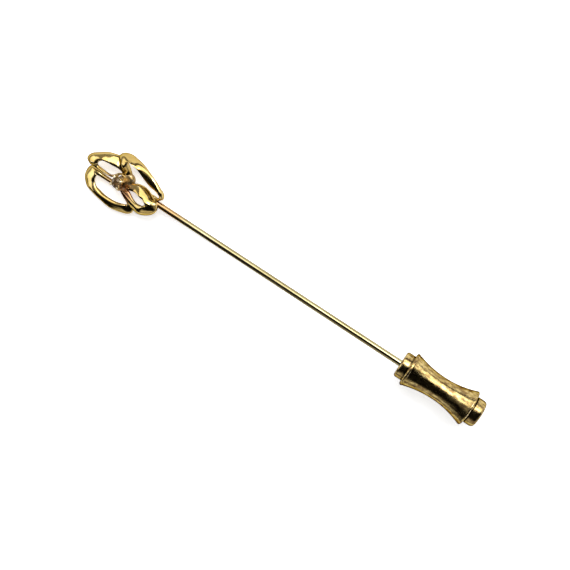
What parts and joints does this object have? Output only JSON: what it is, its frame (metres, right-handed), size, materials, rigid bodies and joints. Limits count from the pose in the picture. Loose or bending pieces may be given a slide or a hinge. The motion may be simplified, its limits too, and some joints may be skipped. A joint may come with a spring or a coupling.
{
  "type": "hat pin",
  "caption": "Gold-tone hat pin: an open knot of bent wire loops with a small prong-set stone, a long round stem, and a spool-shaped pull-back clutch that covers the point.",
  "frame": {"origin": "on the stem's axis, where the stem leaves the head", "axes": "+X along the stem from the head towards the clutch and point, +Z the way the stone faces, +Y across the head"},
  "size_m": [0.0658, 0.0088, 0.005],
  "materials": {
    "head_gold": "bright polished gold tone",
    "copper_solder": "copper-toned where the plating is thin",
    "stem_gold": "drawn wire, polished, slightly copper-toned",
    "clutch_brass": "darker antique gold tone with fine wear",
    "stone": "clear faceted glass, faintly pink-grey",
    "steel": "plain spring and bearing steel"
  },
  "bodies": {
    "pin": {"left_loop": "head_gold", "top_loop": "head_gold", "right_loop": "head_gold", "bottom_loop": "head_gold", "centre_boss": "copper_solder", "setting_cup": "head_gold", "prong_1": "head_gold", "prong_2": "head_gold", "prong_3": "head_gold", "prong_4": "head_gold", "stone": "stone", "pin_stem": "stem_gold"},
    "clutch": {"barrel": "clutch_brass", "nose_collar": "clutch_brass", "end_cap": "clutch_brass", "spring": "steel"},
    "spring_seat": {"thrust_washer": "steel"},
    "grip": {"sleeve": "clutch_brass"},
    "ball_one": {"ball_1": "steel"},
    "ball_two": {"ball_2": "steel"},
    "ball_three": {"ball_3": "steel"}
  },
  "joints": [
    {"name": "clutch_slide", "type": "slide", "parent": "pin", "child": "clutch", "axis": [1, 0, 0], "range_m": [-0.0022, 0.02]},
    {"name": "sleeve_pull", "type": "slide", "parent": "clutch", "child": "spring_seat", "axis": [1, 0, 0], "range_m": [0, 0.0009], "stiffness_N_per_m": 200, "springref_m": -0.002, "deforming": ["spring"]},
    {"name": "sleeve_turn", "type": "hinge", "parent": "spring_seat", "child": "grip", "pos_m": [0.046, 0, 0], "axis": [1, 0, 0], "continuous": true},
    {"name": "ball_1_out", "type": "slide", "parent": "clutch", "child": "ball_one", "axis": [0, -0.866, -0.5], "range_m": [0, 0.00025]},
    {"name": "ball_2_out", "type": "slide", "parent": "clutch", "child": "ball_two", "axis": [0, 0.866, -0.5], "range_m": [0, 0.00025]},
    {"name": "ball_3_out", "type": "slide", "parent": "clutch", "child": "ball_three", "axis": [0, 0, 1], "range_m": [0, 0.00025]}
  ],
  "couplings": [
    {"joint": "ball_1_out", "follows": "sleeve_pull", "ratio": 0.26795},
    {"joint": "ball_2_out", "follows": "sleeve_pull", "ratio": 0.26795},
    {"joint": "ball_3_out", "follows": "sleeve_pull", "ratio": 0.26795}
  ]
}
